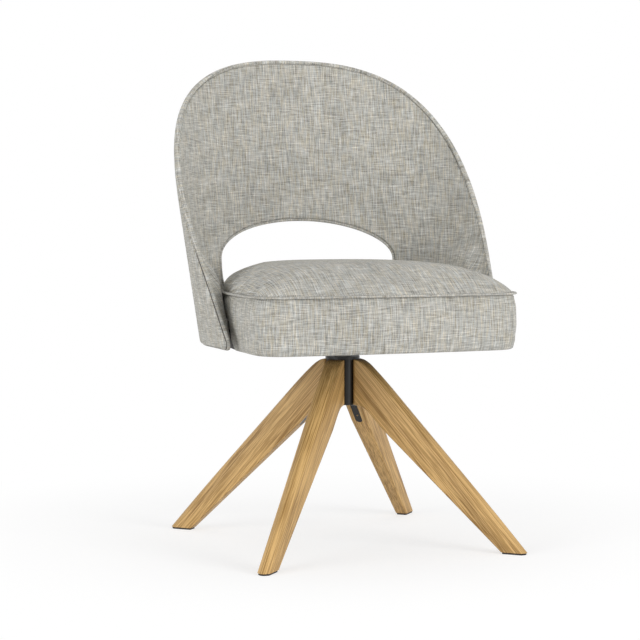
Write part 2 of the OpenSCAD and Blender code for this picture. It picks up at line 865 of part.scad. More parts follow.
// Steel tab under each leg: a bend from the hub and a straight end with a round tip
tab_w = 13;
tab_t = 3;
tab_shares = [[0.25, 0.04], [0.53, 0.25], [0.97, 0.95]];
tab_places = [for (s = tab_shares) [hub_flat + bend_low_w * s[0], hub_bottom - bend_low_drop * s[1]]];
tab_knee = tab_places[0];
tab_bend = tab_places[1];
tab_tip = tab_places[2];
tab_slope = atan2(tab_bend[1] - tab_tip[1], tab_tip[0] - tab_bend[0]);
tab_run = [cos(tab_slope), -sin(tab_slope)];
tab_up = [sin(tab_slope), cos(tab_slope)];
tab_l = norm(tab_tip - tab_bend);
tab_screw_shares = [0.1, 0.68];
tab_screw_d = 4;
tab_screw_head_d = 8;
tab_screw_head_h = 2.4;
tab_screw_l = 24;

// Puts its children on the tab's straight end, with Z into the leg and X towards the foot
module on_tab() {
    translate([tab_bend[0], 0, tab_bend[1]])
        rotate([0, tab_slope, 0])
            children();
}

// The bent strip, cut to its width and its round tip
module tab_shape() {
    past = tab_l + tab_w;
    intersection() {
        translate([0, tab_w, 0])
            rotate([90, 0, 0])
                linear_extrude(2 * tab_w)
                    polygon([
                        [hub_flat, hub_bottom],
                        tab_knee,
                        tab_bend,
                        tab_bend + past * tab_run,
                        tab_bend + past * tab_run + tab_t * tab_up,
                        tab_bend + tab_t * tab_up,
                        tab_knee + [0, tab_t],
                        [hub_flat, hub_bottom + tab_t]]);
        on_tab()
            translate([0, 0, -past])
                linear_extrude(2 * past) {
                    translate([-past, -tab_w / 2])
                        square([past + tab_l, tab_w]);
                    translate([tab_l, 0])
                        circle(d = tab_w);
                }
    }
}

module at_tab_screws() {
    on_tab()
        for (share = tab_screw_shares)
            translate([tab_l * share, 0, 0])
                children();
}

// Glide under each foot, with the outline of the foot drawn in
glide_inset = 1.5;
glide_screw_d = 3.5;
glide_screw_head_d = 7;
glide_screw_head_h = 1.8;
glide_screw_l = 22;

module at_glide_screws() {
    translate([foot_reach, 0, glide_t - glide_screw_head_h])
        children();
}

module at_leg(turn) {
    rotate([0, 0, turn])
        children();
}

front_left_turn = 225;
front_right_turn = 315;
rear_right_turn = 45;
rear_left_turn = 135;

module at_legs() {
    for (turn = [front_left_turn, front_right_turn, rear_right_turn, rear_left_turn])
        at_leg(turn)
            children();
}

module leg() {
    color("#c69c63")
        difference() {
            leg_wood();
            at_dowels()
                cylinder(d = dowel_d, h = dowel_l);
            tab_shape();
            at_tab_screws()
                countersunk_screw(tab_screw_d, tab_screw_head_d, tab_screw_head_h, tab_screw_l);
            at_glide_screws()
                cylinder(d = glide_screw_d, h = glide_screw_l);
        }
}

module glide() {
    low = [foot_in + glide_inset, 0];
    top = [foot_out - glide_inset, 0];
    section = leg_section(low, top, foot_w - 2 * glide_inset, foot_crown, leg_edge);
    color("#2a2420")
        difference() {
            linear_extrude(glide_t)
                polygon([for (p = section) [p[0], p[1]]]);
            at_glide_screws()
                cylinder(d1 = glide_screw_head_d, d2 = glide_screw_d, h = glide_screw_head_h);
            translate([foot_reach, 0, -overrun])
                cylinder(d = glide_screw_head_d, h = glide_t - glide_screw_head_h + overrun);
        }
}

module leg_front_left() { at_leg(front_left_turn) leg(); }
module leg_front_right() { at_leg(front_right_turn) leg(); }
module leg_rear_right() { at_leg(rear_right_turn) leg(); }
module leg_rear_left() { at_leg(rear_left_turn) leg(); }
module glide_front_left() { at_leg(front_left_turn) glide(); }
module glide_front_right() { at_leg(front_right_turn) glide(); }
module glide_rear_right() { at_leg(rear_right_turn) glide(); }
module glide_rear_left() { at_leg(rear_left_turn) glide(); }

module leg_tabs() {
    color("#232325")
        at_legs()
            difference() {
                tab_shape();
                at_tab_screws()
                    countersunk_screw(tab_screw_d, tab_screw_head_d, tab_screw_head_h, tab_screw_l);
            }
}

module leg_dowels() {
    color("#c9cbcd")
        at_legs()
            at_dowels()
                cylinder(d = dowel_d, h = dowel_l);
}

module tab_screws() {
    color("#333336")
        at_legs()
            at_tab_screws()
                countersunk_screw(tab_screw_d, tab_screw_head_d, tab_screw_head_h, tab_screw_l);
}

module glide_screws() {
    color("#c0c2c4")
        at_legs()
            at_glide_screws()
                countersunk_screw(glide_screw_d, glide_screw_head_d, glide_screw_head_h, glide_screw_l);
}

hub();
bush_upper();
bush_lower();
thrust_ring();
hub_cap();
leg_front_left();
leg_front_right();
leg_rear_right();
leg_rear_left();
leg_tabs();
leg_dowels();
tab_screws();
glide_front_left();
glide_front_right();
glide_rear_right();
glide_rear_left();
glide_screws();
spindle();
swivel_plate();
plate_bolts();
plate_nuts();
spindle_washer();
spindle_screw();
seat_board();
seat_rail();
rail_screws();
seat_foam();
dust_cover();
seat_cushion();
seat_lip();
back_shell();
back_inner_pad();
back_outer_cover();
back_edge_band();
window_band();
back_bolts();
back_nuts();
back_spacers();
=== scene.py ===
# Looks of the swivel dining chair. Shapes are worked out in millimetres and made in metres,
# from the same rules as the construction: Z is the swivel axis and the chair faces -Y.
import math
import bmesh
import bpy
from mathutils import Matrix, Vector


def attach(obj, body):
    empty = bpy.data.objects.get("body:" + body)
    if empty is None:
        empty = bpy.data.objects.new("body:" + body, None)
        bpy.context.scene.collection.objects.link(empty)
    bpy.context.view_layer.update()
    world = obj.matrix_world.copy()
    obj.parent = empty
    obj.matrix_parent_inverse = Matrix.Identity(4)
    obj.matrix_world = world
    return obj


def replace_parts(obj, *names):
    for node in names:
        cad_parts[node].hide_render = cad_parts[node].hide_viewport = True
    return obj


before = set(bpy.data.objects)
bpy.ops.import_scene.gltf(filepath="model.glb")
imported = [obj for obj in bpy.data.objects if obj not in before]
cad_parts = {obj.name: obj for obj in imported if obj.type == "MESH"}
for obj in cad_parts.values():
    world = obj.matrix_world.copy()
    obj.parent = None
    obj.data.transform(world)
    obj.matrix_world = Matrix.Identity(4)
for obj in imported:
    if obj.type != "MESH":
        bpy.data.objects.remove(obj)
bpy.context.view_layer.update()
MM = 0.001

# Camera

camera = bpy.data.objects.new("camera", bpy.data.cameras.new("camera"))
camera.location = (-1.199, -2.877, 0.573)
camera.rotation_euler = (math.radians(86.52), 0, math.radians(-21.91))
camera.data.sensor_width = 36
camera.data.lens = 101.98
bpy.context.scene.collection.objects.link(camera)
bpy.context.scene.camera = camera

# Helpers


def mix(a, b, share):
    return a + (b - a) * share


def eased(value, start, end):
    share = min(1, max(0, (value - start) / (end - start)))
    return share * share * (3 - 2 * share)


def linear(colour):
    """An sRGB hex colour as the linear one that a socket takes."""
    channels = [int(colour[i:i + 2], 16) / 255 for i in (1, 3, 5)]
    return [c / 12.92 if c <= 0.04045 else ((c + 0.055) / 1.055) ** 2.4 for c in channels] + [1]


def add(tree, kind, inputs=None, **settings):
    """One node with its settings. An input is a value or the socket that feeds it."""
    made = tree.nodes.new(kind)
    for name, value in settings.items():
        setattr(made, name, value)
    for key, value in (inputs or {}).items():
        if isinstance(value, bpy.types.NodeSocket):
            tree.links.new(value, made.inputs[key])
        else:
            made.inputs[key].default_value = value
    return made


def ramp(tree, value, stops):
    """Colours at places from 0 to 1 along a value."""
    made = add(tree, "ShaderNodeValToRGB", {0: value})
    for place, colour in stops[2:]:
        made.color_ramp.elements.new(place)
    for element, (place, colour) in zip(made.color_ramp.elements, stops):
        element.position = place
        element.color = linear(colour)
    return made.outputs[0]


def new_material(name):
    """A material with its tree and its shader."""
    made = bpy.data.materials.new(name)
    made.use_nodes = True
    tree = made.node_tree
    return made, tree, tree.nodes["Principled BSDF"]


def stretched(tree, coordinates, scale, detail=2, roughness=0.5, offset=(0, 0, 0)):
    """Noise on coordinates that are stretched by a scale in each direction. The noise's own squares
    are turned after that, so that no rows of them show."""
    placed = add(tree, "ShaderNodeMapping", {0: coordinates, 1: offset, 2: (0.3, 0.2, 0.55), 3: scale})
    return add(tree, "ShaderNodeTexNoise",
               {0: placed.outputs[0], "Scale": 1, "Detail": detail, "Roughness": roughness}).outputs[0]


def maths(tree, operation, *values):
    return add(tree, "ShaderNodeMath", dict(enumerate(values)), operation=operation).outputs[0]


def blended(tree, factor, a, b, kind="MIX"):
    made = add(tree, "ShaderNodeMix", {0: factor, 6: a, 7: b}, data_type="RGBA", blend_type=kind)
    return made.outputs[2]


def bumped(tree, shader, height, distance, strength=1):
    bump = add(tree, "ShaderNodeBump", {"Height": height, "Distance": distance, "Strength": strength})
    tree.links.new(bump.outputs[0], shader.inputs["Normal"])


# Materials

# Polyester and linen mixture, woven plain from melange yarn: light and dark fibres in each
# thread, and thicker slubs both ways, more of them upright. The real threads are about 0.7 mm
# apart, which is too fine to show, so they are drawn 1.1 mm apart.
THREAD = 1.1 * MM


def woven_linen_mix(name, shades):
    made, tree, shader = new_material(name)
    cloth = add(tree, "ShaderNodeUVMap", uv_map="cloth").outputs[0]
    threads = add(tree, "ShaderNodeMapping", {0: cloth, 3: (1 / THREAD, 1 / THREAD, 1)}).outputs[0]
    over = add(tree, "ShaderNodeTexChecker", {0: threads, "Scale": 1}).outputs[1]
    warp = stretched(tree, threads, (0.95, 0.035, 1), 3, 0.6)
    weft = stretched(tree, threads, (0.05, 0.95, 1), 3, 0.6, (31, 17, 3))
    places = (0.34, 0.44, 0.5, 0.56, 0.66)
    warp_tone, weft_tone = [ramp(tree, yarn, list(zip(places, shades))) for yarn in (warp, weft)]
    woven = blended(tree, over, warp_tone, weft_tone)
    woven = blended(tree, 0.35, woven, blended(tree, 0.42, warp_tone, weft_tone))
    slub_up = stretched(tree, threads, (0.75, 0.022, 1), 2, 0.5, (7, 91, 5))
    slub_across = stretched(tree, threads, (0.03, 0.8, 1), 2, 0.5, (53, 11, 9))
    patches = stretched(tree, threads, (0.012, 0.012, 1), 2, 0.5, (3, 5, 7))
    slubs = maths(tree, "MULTIPLY_ADD", slub_up, 0.75, maths(tree, "MULTIPLY", slub_across, 0.45))
    tone = maths(tree, "MULTIPLY_ADD", slubs, 0.6, maths(tree, "MULTIPLY_ADD", patches, 0.2, 0.54))
    dye = stretched(tree, threads, (0.5, 0.05, 1), 1, 0.5, (19, 43, 2))
    dyed = ramp(tree, dye, [(0.36, "#fffaef"), (0.5, "#ffffff"), (0.64, "#f7fbff")])
    woven = blended(tree, 1.0, woven, dyed, "MULTIPLY")
    tinted = add(tree, "ShaderNodeHueSaturation", {"Value": tone, "Color": woven}).outputs[0]
    tree.links.new(tinted, shader.inputs["Base Color"])
    split = add(tree, "ShaderNodeSeparateXYZ", {0: threads})
    turns = [maths(tree, "MULTIPLY", split.outputs[i], math.pi) for i in (0, 1)]
    ridges = [maths(tree, "ABSOLUTE", maths(tree, "SINE", turn)) for turn in turns]
    height = add(tree, "ShaderNodeMix", {0: over, 2: ridges[0], 3: ridges[1]}).outputs[0]
    bumped(tree, shader, maths(tree, "MULTIPLY_ADD", slubs, 1.2, height), 0.3 * MM, 0.7)
    shader.inputs["Roughness"].default_value = 0.92
    shader.inputs["Specular IOR Level"].default_value = 0.25
    shader.inputs["Sheen Weight"].default_value = 0.15
    shader.inputs["Sheen Roughness"].default_value = 0.5
    return made


SHADES = ["#6e6c66", "#9a9891", "#b1afa8", "#c5c3bc", "#e8e6df"]
fabric = woven_linen_mix("woven_linen_mix", SHADES)


# Spun polyester sewing thread: fine, twisted and a little darker than the cloth
def spun_thread():
    made, tree, shader = new_material("spun_sewing_thread")
    place = add(tree, "ShaderNodeTexCoord").outputs["Object"]
    twist = stretched(tree, place, (1400, 1400, 1400), 1)
    tree.links.new(ramp(tree, twist, [(0.3, "#7b7871"), (0.7, "#9f9b94")]), shader.inputs["Base Color"])
    bumped(tree, shader, twist, 0.1 * MM)
    shader.inputs["Roughness"].default_value = 0.7
    return made


# Solid European oak, planed, sanded and matt oiled: straight grain along the leg's straight run,
# darker late-wood lines 2 to 4 mm apart, and open pores as short dark dashes of 0.5 mm by 12 mm
GRAIN_SLOPE = 48.6


def oiled_oak(name, turn):
    made, tree, shader = new_material(name)
    place = add(tree, "ShaderNodeTexCoord").outputs["Object"]
    level = add(tree, "ShaderNodeMapping", {0: place, 2: (0, 0, math.radians(-turn))}).outputs[0]
    grain = add(tree, "ShaderNodeMapping", {0: level, 1: (turn / 90, turn / 60, turn / 45),
                                            2: (0, math.radians(-GRAIN_SLOPE), 0)}).outputs[0]
    bands = stretched(tree, grain, (3.5, 300, 130), 3, 0.55)
    fine = stretched(tree, grain, (9, 1000, 600), 2, 0.6, (4, 8, 2))
    pores = stretched(tree, grain, (75, 1900, 1400), 2, 0.5, (2, 6, 9))
    broad = stretched(tree, grain, (2, 45, 30), 2, 0.5, (8, 1, 4))
    wood = ramp(tree, bands, [(0.4, "#8f6a36"), (0.54, "#cda567")])
    fines = ramp(tree, fine, [(0.42, "#8a6833"), (0.58, "#dbb579")])
    wood = blended(tree, 0.6, wood, fines)
    open_pores = ramp(tree, pores, [(0.56, "#000000"), (0.68, "#606060")])
    wood = blended(tree, open_pores, wood, linear("#755a33"))
    tone = maths(tree, "MULTIPLY_ADD", broad, 0.3, 0.84)
    wood = add(tree, "ShaderNodeHueSaturation", {"Value": tone, "Color": wood}).outputs[0]
    tree.links.new(wood, shader.inputs["Base Color"])
    tree.links.new(maths(tree, "MULTIPLY_ADD", bands, 0.12, 0.42), shader.inputs["Roughness"])
    bumped(tree, shader, maths(tree, "SUBTRACT", fine, pores), 0.12 * MM, 0.5)
    shader.inputs["Specular IOR Level"].default_value = 0.4
    return made


def speckled(name, dark, light, size, roughness, depth, metallic=0.0, spread=0.1):
    """A surface whose colour, roughness and bump follow grains of a size in millimetres."""
    made, tree, shader = new_material(name)
    place = add(tree, "ShaderNodeTexCoord").outputs["Object"]
    grit = stretched(tree, place, [1 / (size * MM)] * 3, 2, 0.6)
    wide = stretched(tree, place, [25] * 3, 2, 0.5)
    mixed = maths(tree, "MULTIPLY_ADD", grit, 0.6, maths(tree, "MULTIPLY", wide, 0.4))
    tree.links.new(ramp(tree, mixed, [(0.35, dark), (0.65, light)]), shader.inputs["Base Color"])
    tree.links.new(maths(tree, "MULTIPLY_ADD", mixed, 2 * spread, roughness - spread),
                   shader.inputs["Roughness"])
    shader.inputs["Metallic"].default_value = metallic
    shader.inputs["Specular IOR Level"].default_value = 0.5 if metallic else 0.3
    bumped(tree, shader, grit, depth * MM, 0.6)
    return made


def layered_wood(name, dark, light, layers, glue):
    """Peeled veneer: flat grain on the faces, and thin glue lines between the layers on the edges."""
    made, tree, shader = new_material(name)
    place = add(tree, "ShaderNodeTexCoord").outputs["Object"]
    grain = stretched(tree, place, (14, 260, 260), 3, 0.6)
    height = add(tree, "ShaderNodeSeparateXYZ", {0: place}).outputs[2]
    layer = maths(tree, "FRACT", maths(tree, "DIVIDE", height, layers * MM))
    line = maths(tree, "LESS_THAN", layer, 0.14)
    wood = ramp(tree, grain, [(0.35, dark), (0.65, light)])
    wood = blended(tree, maths(tree, "MULTIPLY", line, 0.5), wood, linear(glue))
    tree.links.new(wood, shader.inputs["Base Color"])
    tree.links.new(maths(tree, "MULTIPLY_ADD", grain, 0.2, 0.5), shader.inputs["Roughness"])
    bumped(tree, shader, grain, 0.15 * MM, 0.5)
    return made


# Spun-bonded polypropylene dust cloth: matt black with a pressed grid of small dots
def dust_cloth():
    made, tree, shader = new_material("spun_bonded_cloth")
    place = add(tree, "ShaderNodeTexCoord").outputs["Object"]
    dots = add(tree, "ShaderNodeTexVoronoi", {0: place, "Scale": 1 / (2.5 * MM), "Randomness": 0.15})
    fibres = stretched(tree, place, (500, 160, 300), 3, 0.7)
    press = maths(tree, "GREATER_THAN", dots.outputs[0], 0.3)
    tone = maths(tree, "MULTIPLY_ADD", press, 0.3, maths(tree, "MULTIPLY", fibres, 0.7))
    tree.links.new(ramp(tree, tone, [(0.3, "#151516"), (0.8, "#2d2d2f")]), shader.inputs["Base Color"])
    bumped(tree, shader, tone, 0.3 * MM)
    shader.inputs["Roughness"].default_value = 0.95
    return made


thread = spun_thread()
dust = dust_cloth()
# Fine-textured matt powder coat on steel: even satin black with a light orange peel of 0.6 mm
powder_coat = speckled("powder_coated_steel", "#181613", "#27241f", 0.6, 0.34, 0.12)
# Blackened steel screws: darker and smoother than the coat
black_steel = speckled("blackened_steel", "#191919", "#2b2b2c", 0.4, 0.36, 0.04)
# Bright zinc plating: pale cool metal with faint cloudy spots
zinc = speckled("zinc_plated_steel", "#a9adb0", "#c9ccce", 0.5, 0.32, 0.03, 1.0)
# Moulded polyamide glides, spacers and cap: near black with a fine spark-eroded grain
black_plastic = speckled("moulded_polyamide", "#1b1918", "#2b2826", 0.5, 0.55, 0.08)
# Acetal bushes: waxy off-white with fine turning marks
acetal = speckled("turned_acetal", "#d5d1c6", "#e9e5da", 0.8, 0.4, 0.03)
# Polyurethane foam: yellowish open cells of about 1 mm
foam = speckled("open_cell_foam", "#cfc38f", "#eee4b4", 1.0, 0.9, 0.5)
# Birch plywood of the back's shell, coloured dark as painted shade: where the shell shows in the seams'
# grooves, its dark colour draws the shadowed seam lines.
shell_birch_painted_seam_shade = layered_wood("birch_plywood_painted_seam_shade", "#38342f", "#4a4540", 1.5, "#26231f")
beech = layered_wood("stained_beech_rail", "#1f1c1a", "#2c2825", 20, "#141312")

# Meshes


def make(name, body, slot, material, points, faces, uv=None):
    """A piece from points in millimetres. uv gives a place on the cloth for each face's corners."""
    mesh = bpy.data.meshes.new(name)
    mesh.from_pydata([Vector(p) * MM for p in points], [], faces)
    mesh.polygons.foreach_set("use_smooth", [True] * len(faces))
    if uv:
        layer = mesh.uv_layers.new(name="cloth")
        layer.data.foreach_set("uv", [c * MM for face in uv for corner in face for c in corner])
    mesh.materials.append(material)
    mesh.update()
    made = bpy.data.objects.new(name, mesh)
    bpy.context.scene.collection.objects.link(made)
    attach(made, body)
    return made


def loft(rings, places, looped):
    """Faces over closed rings, and their corners' places on the cloth.
    places has one more column than the rings, so that a pattern doesn't turn back at the join."""
    n = len(rings[0])
    count = len(rings)
    faces, uv = [], []
    for i in range(count if looped else count - 1):
        j = (i + 1) % count
        for k in range(n):
            m = (k + 1) % n
            faces.append((i * n + k, i * n + m, j * n + m, j * n + k))
            uv.append((places[i][k], places[i][k + 1], places[i + 1][k + 1], places[i + 1][k]))
    return [p for ring in rings for p in ring], faces, uv


def lengths(points):
    """Running length along a closed line of points, ending with the whole length."""
    out = [0.0]
    for k in range(len(points)):
        out.append(out[-1] + (Vector(points[(k + 1) % len(points)]) - Vector(points[k])).length)
    return out


def facing_out(obj, inside_out):
    if inside_out:
        obj.data.flip_normals()
    return obj


# Rows of stitches and staples


def stitch_tree():
    """Short lengths of thread or wire, laid end to end along a seam."""
    tree = bpy.data.node_groups.new("row_along_seam", "GeometryNodeTree")
    sockets = {}
    for name, kind in [("Seam", "Geometry"), ("Pitch", "Float"), ("Length", "Float"),
                       ("Thickness", "Float"), ("Finish", "Material")]:
        sockets[name] = tree.interface.new_socket(name, in_out="INPUT", socket_type="NodeSocket" + kind)
    tree.interface.new_socket("Row", in_out="OUTPUT", socket_type="NodeSocketGeometry")
    given = add(tree, "NodeGroupInput").outputs
    curve = add(tree, "GeometryNodeMeshToCurve", {0: given["Seam"]}).outputs[0]
    spaced = add(tree, "GeometryNodeResampleCurve", mode="LENGTH",
                 inputs={"Curve": curve, "Length": given["Pitch"]}).outputs[0]
    bead = add(tree, "GeometryNodeMeshUVSphere", {"Segments": 6, "Rings": 4, "Radius": 0.5}).outputs[0]
    size = add(tree, "ShaderNodeCombineXYZ",
               {0: given["Thickness"], 1: given["Thickness"], 2: given["Length"]}).outputs[0]
    tangent = add(tree, "GeometryNodeInputTangent").outputs[0]
    turned = add(tree, "FunctionNodeAlignRotationToVector", {"Vector": tangent}, axis="Z").outputs[0]
    placed = add(tree, "GeometryNodeInstanceOnPoints",
                 {"Points": spaced, "Instance": bead, "Rotation": turned, "Scale": size}).outputs[0]
    real = add(tree, "GeometryNodeRealizeInstances", {0: placed}).outputs[0]
    done = add(tree, "GeometryNodeSetMaterial",
               {"Geometry": real, "Material": given["Finish"]}).outputs[0]
    add(tree, "NodeGroupOutput", {0: done})
    return tree, sockets


row_tree, row_sockets = stitch_tree()


def row(name, body, material, points, pitch, length, thickness):
    """Stitches or staples along a closed line of points, as a plain mesh."""
    n = len(points)
    line = bpy.data.meshes.new(name + "_line")
    line.from_pydata([Vector(p) * MM for p in points], [(k, (k + 1) % n) for k in range(n)], [])
    source = bpy.data.objects.new(name + "_line", line)
    bpy.context.scene.collection.objects.link(source)
    modifier = source.modifiers.new("row", "NODES")
    modifier.node_group = row_tree
    for key, value in [("Pitch", pitch * MM), ("Length", length * MM), ("Thickness", thickness * MM),
                       ("Finish", material)]:
        modifier[row_sockets[key].identifier] = value
    evaluated = source.evaluated_get(bpy.context.evaluated_depsgraph_get())
    mesh = bpy.data.meshes.new_from_object(evaluated)
    mesh.polygons.foreach_set("use_smooth", [True] * len(mesh.polygons))
    bpy.data.objects.remove(source)
    bpy.data.meshes.remove(line)
    made = bpy.data.objects.new(name, mesh)
    bpy.context.scene.collection.objects.link(made)
    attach(made, body)
    return made


# Plan of the seat, which the padding inside the wings follows

SEAT_BOTTOM, SEAT_W, SEAT_FRONT, SEAT_REAR, SEAT_SQUARENESS = 342.0, 460.0, 236.0, 176.0, 2.8
SEAT_BOW, SEAT_CORNER, BOXING, CROWN = 6.0, 48.0, 93.0, 49.0
SEAM_Z = SEAT_BOTTOM + BOXING
WRAP, LIP_T, DRAW = 8.0, 4.0, 2.0
RAIL_TOP = 399.96
DRAW_RUN, LIFT_RUN, LIFT = (-173.0, -113.0), (-72.0, -48.0), 46.0
CROWN_MIDDLE, FLATNESS, SOFT_FRONT, SOFT_REAR = 25.0, 4.0, 1.1, 0.25
REAR_STEPS, ROUND_STEPS, FRONT_STEPS = 60, 16, 24


def seat_outline():
    """Plan of the seat at its seam, from the middle of the rear by the right side and round."""
    half_w, corner_y, power = SEAT_W / 2, SEAT_CORNER - SEAT_FRONT + SEAT_BOW, 2 / SEAT_SQUARENESS
    half = []
    for i in range(REAR_STEPS + 1):
        a = math.radians(90 * i / REAR_STEPS)
        half.append((half_w * math.sin(a) ** power,
                     mix(corner_y, SEAT_REAR, max(0, math.cos(a)) ** power)))
    for i in range(1, ROUND_STEPS + 1):
        a = math.radians(90 * i / ROUND_STEPS)
        half.append((half_w - SEAT_CORNER * (1 - math.cos(a)), corner_y - SEAT_CORNER * math.sin(a)))
    for i in range(1, FRONT_STEPS + 1):
        x = (half_w - SEAT_CORNER) * (1 - i / FRONT_STEPS)
        half.append((x, -SEAT_FRONT + SEAT_BOW * (x / (half_w - SEAT_CORNER)) ** 2))
    return half + [(-x, y) for x, y in half[-2:0:-1]]


seat = seat_outline()
SEATS = len(seat)
seat_outs = []
for k in range(SEATS):
    ahead, behind = seat[(k + 1) % SEATS], seat[k - 1]
    seat_outs.append(Vector((behind[1] - ahead[1], ahead[0] - behind[0])).normalized())
seat_run = lengths([(x, y, 0) for x, y in seat])


def seat_ring(inset, draw=0.0):
    return [Vector(seat[k]) - (inset + draw * eased(seat[k][1], *DRAW_RUN)) * seat_outs[k]
            for k in range(SEATS)]


def to_ring(start, direction, ring):
    """Distance in plan from a place to a closed ring along a direction."""
    nearest = 1e9
    for k in range(len(ring)):
        gap, run = ring[k] - start, ring[(k + 1) % len(ring)] - ring[k]
        span = direction[0] * run[1] - direction[1] * run[0]
        if abs(span) < 1e-9:
            continue
        place = (gap[0] * direction[1] - gap[1] * direction[0]) / span
        away = (gap[0] * run[1] - gap[1] * run[0]) / span
        if 0 <= place <= 1 and away > 0:
            nearest = min(nearest, away)
    return nearest


# Form of the back

BACK_TOP, BACK_LOW = 842.5, 348.0
BACK_H = BACK_TOP - BACK_LOW
SIDE_LOW, SIDE_MID, SIDE_HIGH = 240.0, 275.0, 309.0
FLARE, SQUARENESS_LOW, SQUARENESS_HIGH = 0.05, 2.25, 2.6
REAR_LOW, REAR_HIGH, MIDDLE = 182.0, 226.0, 26.0
WING_FRONT, WING_CORNER, BOW, BOW_POWER = 124.0, 10.0, 10.5, 2.0
BOW_PEAK = (BOW_POWER / (1 + BOW_POWER)) ** BOW_POWER / (1 + BOW_POWER)
FULL_T, RIM_LOSS, RIM_RUN, RIM_POWER = 12.0, 0.25, 24.0, 3.2
WINDOW_W, WINDOW_TOP, WINDOW_MID, WINDOW_LOW = 331.0, 554.5, 486.0, 395.0
WINDOW_SQUARENESS, WINDOW_LOW_SHARE = 3.4, 0.36


def back_share(z):
    return (z - BACK_LOW) / BACK_H


def side_w(z):
    t = back_share(z)
    return (1 - t) ** 2 * SIDE_LOW + 2 * t * (1 - t) * SIDE_MID + t * t * SIDE_HIGH


def squareness(z):
    return mix(SQUARENESS_LOW, SQUARENESS_HIGH, back_share(z))


def depth(z):
    return mix(REAR_LOW, REAR_HIGH, back_share(z)) + MIDDLE


def cut_y(z):
    t = back_share(z)
    return mix(-WING_FRONT, REAR_HIGH, t) - BOW * max(0, t) ** BOW_POWER * (1 - t) / BOW_PEAK


def back_at(turn, z):
    """Place on the inside of the back, by its turn from the rear in degrees and its height."""
    a = math.radians(turn)
    if abs(turn) <= 90:
        p = squareness(z)
        r = ((abs(math.sin(a)) / side_w(z)) ** p + (abs(math.cos(a)) / depth(z)) ** p) ** (-1 / p)
        return Vector((r * math.sin(a), r * math.cos(a) - MIDDLE, z))
    run = side_w(z) * math.tan(abs(a) - math.pi / 2)
    return Vector((math.copysign(side_w(z) + FLARE * run * run / side_w(z), turn), -MIDDLE - run, z))


def other_axis(share, z):
    p = squareness(z)
    return max(0, 1 - abs(share) ** p) ** (1 / p)


def turn_where_y(y, z):
    behind = y + MIDDLE
    if behind < 0:
        return 90 + math.degrees(math.atan(-behind / side_w(z)))
    return math.degrees(math.atan2(side_w(z) * other_axis(behind / depth(z), z), behind))


def turn_where_x(x, z):
    return math.degrees(math.atan2(x, depth(z) * other_axis(x / side_w(z), z)))


def back_normal(turn, z):
    across = back_at(turn + 0.1, z) - back_at(turn - 0.1, z)
    up = back_at(turn, z + 0.5) - back_at(turn, z - 0.5)
    return up.cross(across).normalized()


LOW_STEPS, CORNER_STEPS, SLANT_STEPS, SLANT_POWER = 40, 12, 60, 2.2
HALF_STEPS = LOW_STEPS + CORNER_STEPS + SLANT_STEPS
SLANT_ANGLE = math.atan2(BACK_H, REAR_HIGH + WING_FRONT)
CORNER_RUN = WING_CORNER / math.tan(SLANT_ANGLE / 2)


def edge_outline():
    """Turns and heights round the back: the lower edge, the wing's corner and the slanted edge."""
    low_end = turn_where_y(CORNER_RUN - WING_FRONT, BACK_LOW)
    half = [(low_end * i / LOW_STEPS, BACK_LOW) for i in range(LOW_STEPS + 1)]
    for i in range(1, CORNER_STEPS + 1):
        a = math.radians(270 - (180 - math.degrees(SLANT_ANGLE)) * i / CORNER_STEPS)
        z = BACK_LOW + WING_CORNER * (1 + math.sin(a))
        half.append((turn_where_y(CORNER_RUN - WING_FRONT + WING_CORNER * math.cos(a), z), z))
    start = BACK_LOW + CORNER_RUN * math.sin(SLANT_ANGLE)
    for i in range(1, SLANT_STEPS + 1):
        z = mix(BACK_TOP, start, (1 - i / SLANT_STEPS) ** SLANT_POWER)
        half.append((0 if i == SLANT_STEPS else turn_where_y(cut_y(z), z), z))
    return half


def window_outline():
    """Turns and heights round the opening, with a point for each point of the back's edge."""
    low = LOW_STEPS * 12 // 10
    half = []
    for i in range(HALF_STEPS + 1):
        if i <= low:
            a = -90 + 180 * WINDOW_LOW_SHARE * i / low
        else:
            a = 90 - 180 * (1 - WINDOW_LOW_SHARE) * (HALF_STEPS - i) / (HALF_STEPS - low)
        a = math.radians(a)
        power = 1 if a > 0 else 2 / WINDOW_SQUARENESS
        rise = WINDOW_TOP - WINDOW_MID if a > 0 else WINDOW_LOW - WINDOW_MID
        z = WINDOW_MID + rise * abs(math.sin(a)) ** power
        end = i in (0, HALF_STEPS)
        half.append((0 if end else turn_where_x(math.cos(a) ** power * WINDOW_W / 2, z), z))
    return half


def both_sides(half):
    return half + [(-turn, z) for turn, z in half[-2:0:-1]]


edge = both_sides(edge_outline())
window = both_sides(window_outline())
COUNT = len(edge)


def outward(outline, side):
    """Normals of the back along an outline, and directions along its surface away from the cloth."""
    faces = [back_at(*p) for p in outline]
    normals = [back_normal(*p) for p in outline]
    outs = []
    for k in range(COUNT):
        run = faces[(k + 1) % COUNT] - faces[k - 1]
        outs.append(side * normals[k].cross(run).normalized())
    return faces, normals, outs


edge_faces, edge_normals, edge_outs = outward(edge, 1)
window_faces, window_normals, window_outs = outward(window, -1)
LEAST_LEAN = 0.45
spokes = [edge_faces[k] - window_faces[k] for k in range(COUNT)]
edge_leans, window_leans = [[max(LEAST_LEAN, abs(spoke.normalized().dot(out)))
                             for spoke, out in zip(spokes, outs)] for outs in (edge_outs, window_outs)]


def thinness(distance):
    """Share of its thickness that the back has at a distance from an edge."""
    return 1 - RIM_LOSS * max(0, 1 - distance / RIM_RUN) ** RIM_POWER


def share_at(k, from_window=None, from_edge=None):
    if from_edge is None:
        return from_window / (spokes[k].length * window_leans[k])
    return 1 - from_edge / (spokes[k].length * edge_leans[k])


